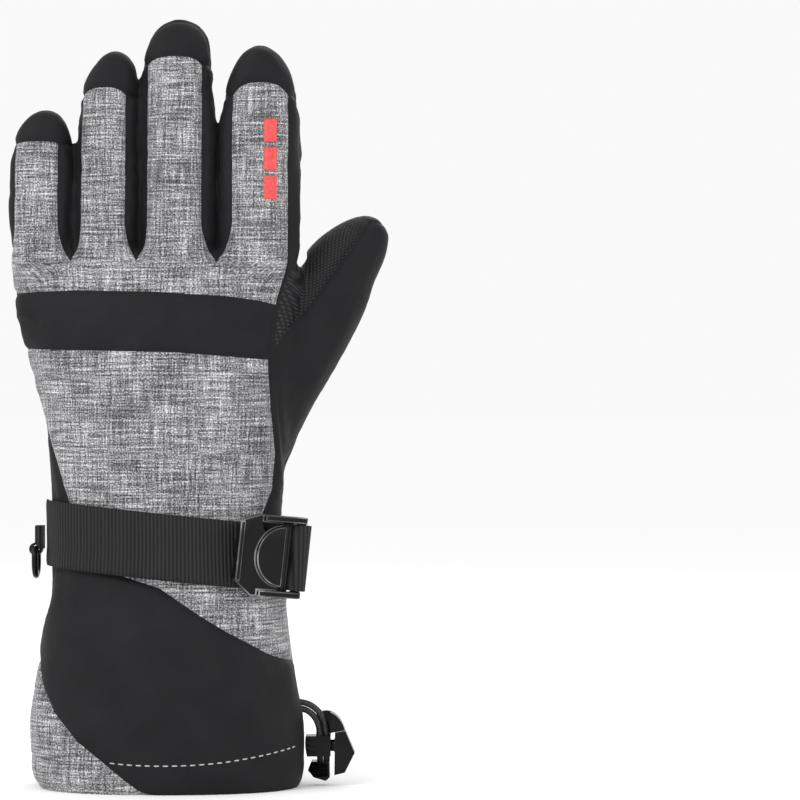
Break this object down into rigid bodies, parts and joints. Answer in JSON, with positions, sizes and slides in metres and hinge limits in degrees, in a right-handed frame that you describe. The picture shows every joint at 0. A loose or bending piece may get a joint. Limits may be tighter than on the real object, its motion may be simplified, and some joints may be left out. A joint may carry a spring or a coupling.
{
  "type": "ski glove",
  "caption": "Insulated left-hand ski glove with a gauntlet cuff, buckled wrist strap, clip ring and a hem drawcord with a cord lock; fingers and thumb bend.",
  "frame": {"origin": "on the ground under the middle of the bounding box, where the hem stands", "axes": "+Z from the hem to the fingertips, +Y out of the palm, +X towards the thumb; -Y is the back of the hand"},
  "size_m": [0.1462, 0.0716, 0.295],
  "materials": {
    "heather_fabric": "grey melange weave, matt",
    "black_softshell": "smooth tight knit, slight sheen",
    "grip_fabric": "coated, fine diagonal rib",
    "insulation": "soft wadding",
    "lining": "brushed fleece",
    "webbing": "ribbed woven tape",
    "elastic_cord": "braided",
    "black_plastic": "moulded, semi-gloss",
    "spring_steel": "bright",
    "accent_print": "flat red print"
  },
  "bodies": {
    "hand": {"finger_yoke_panel": "heather_fabric", "knuckle_band": "black_softshell", "back_panel": "heather_fabric", "index_side_panel": "black_softshell", "little_side_panel": "black_softshell", "palm_panel": "grip_fabric", "cuff_palm_panel": "heather_fabric", "cuff_overlay_panel": "black_softshell", "cuff_upper_panel": "heather_fabric", "cuff_lower_panel": "heather_fabric", "hem_fold": "black_softshell", "wrist_elastic": "elastic_cord", "hand_insulation": "insulation", "hand_lining": "lining", "hem_drawcord": "elastic_cord", "wrist_strap": "webbing", "buckle_loop": "webbing", "clip_ring_loop": "webbing", "drawcord_inner": "elastic_cord", "drawcord_outer": "elastic_cord", "cord_end": "black_plastic"},
    "little_finger": {"little_back_panel": "heather_fabric", "little_tip_cap": "black_softshell", "little_grip_insert": "grip_fabric", "little_side_strips": "black_softshell", "little_insulation": "insulation", "little_lining": "lining"},
    "ring_finger": {"ring_back_panel": "heather_fabric", "ring_tip_cap": "black_softshell", "ring_grip_insert": "grip_fabric", "ring_side_strips": "black_softshell", "ring_insulation": "insulation", "ring_lining": "lining"},
    "middle_finger": {"middle_back_panel": "heather_fabric", "middle_tip_cap": "black_softshell", "middle_grip_insert": "grip_fabric", "middle_side_strips": "black_softshell", "middle_insulation": "insulation", "middle_lining": "lining"},
    "index_finger": {"index_back_panel": "heather_fabric", "index_tip_cap": "black_softshell", "index_grip_insert": "grip_fabric", "index_side_strips": "black_softshell", "index_insulation": "insulation", "index_lining": "lining", "index_accent_mark": "accent_print"},
    "thumb": {"thumb_grip_panel": "grip_fabric", "thumb_back_panel": "black_softshell", "thumb_insulation": "insulation", "thumb_lining": "lining"},
    "buckle": {"buckle_frame": "black_plastic"},
    "clip_ring": {"clip_ring": "black_plastic"},
    "cord_lock": {"cord_lock_body": "black_plastic", "cord_lock_spring": "spring_steel"},
    "cord_lock_button": {"cord_lock_button": "black_plastic"}
  },
  "joints": [
    {"name": "little_flex", "type": "hinge", "parent": "hand", "child": "little_finger", "pos_m": [-0.0608, 0.002, 0.208], "axis": [-1, 0, 0], "range_deg": [0, 50]},
    {"name": "ring_flex", "type": "hinge", "parent": "hand", "child": "ring_finger", "pos_m": [-0.0361, 0.002, 0.208], "axis": [-1, 0, 0], "range_deg": [0, 50]},
    {"name": "middle_flex", "type": "hinge", "parent": "hand", "child": "middle_finger", "pos_m": [-0.0086, 0.002, 0.208], "axis": [-1, 0, 0], "range_deg": [0, 50]},
    {"name": "index_flex", "type": "hinge", "parent": "hand", "child": "index_finger", "pos_m": [0.0228, 0.002, 0.208], "axis": [-1, 0, 0], "range_deg": [0, 50]},
    {"name": "thumb_fold", "type": "hinge", "parent": "hand", "child": "thumb", "pos_m": [0.0274, 0.0106, 0.1568], "axis": [-0.7038, -0.4092, 0.5807], "range_deg": [0, 30]},
    {"name": "buckle_lift", "type": "hinge", "parent": "hand", "child": "buckle", "pos_m": [0.0383, -0.0182, 0.0883], "axis": [0.1045, 0, 0.9945], "range_deg": [0, 50]},
    {"name": "clip_ring_swing", "type": "hinge", "parent": "hand", "child": "clip_ring", "pos_m": [-0.063, 0, 0.091], "axis": [0, 1, 0], "range_deg": [-8, 80]},
    {"name": "cord_lock_slide", "type": "slide", "parent": "hand", "child": "cord_lock", "axis": [0, 0, 1], "range_m": [-0.0015, 0.0028]},
    {"name": "cord_lock_press", "type": "slide", "parent": "cord_lock", "child": "cord_lock_button", "axis": [-1, 0, 0], "range_m": [0, 0.0014], "stiffness_N_per_m": 600, "springref_m": -0.001, "deforming": ["cord_lock_spring"]}
  ]
}
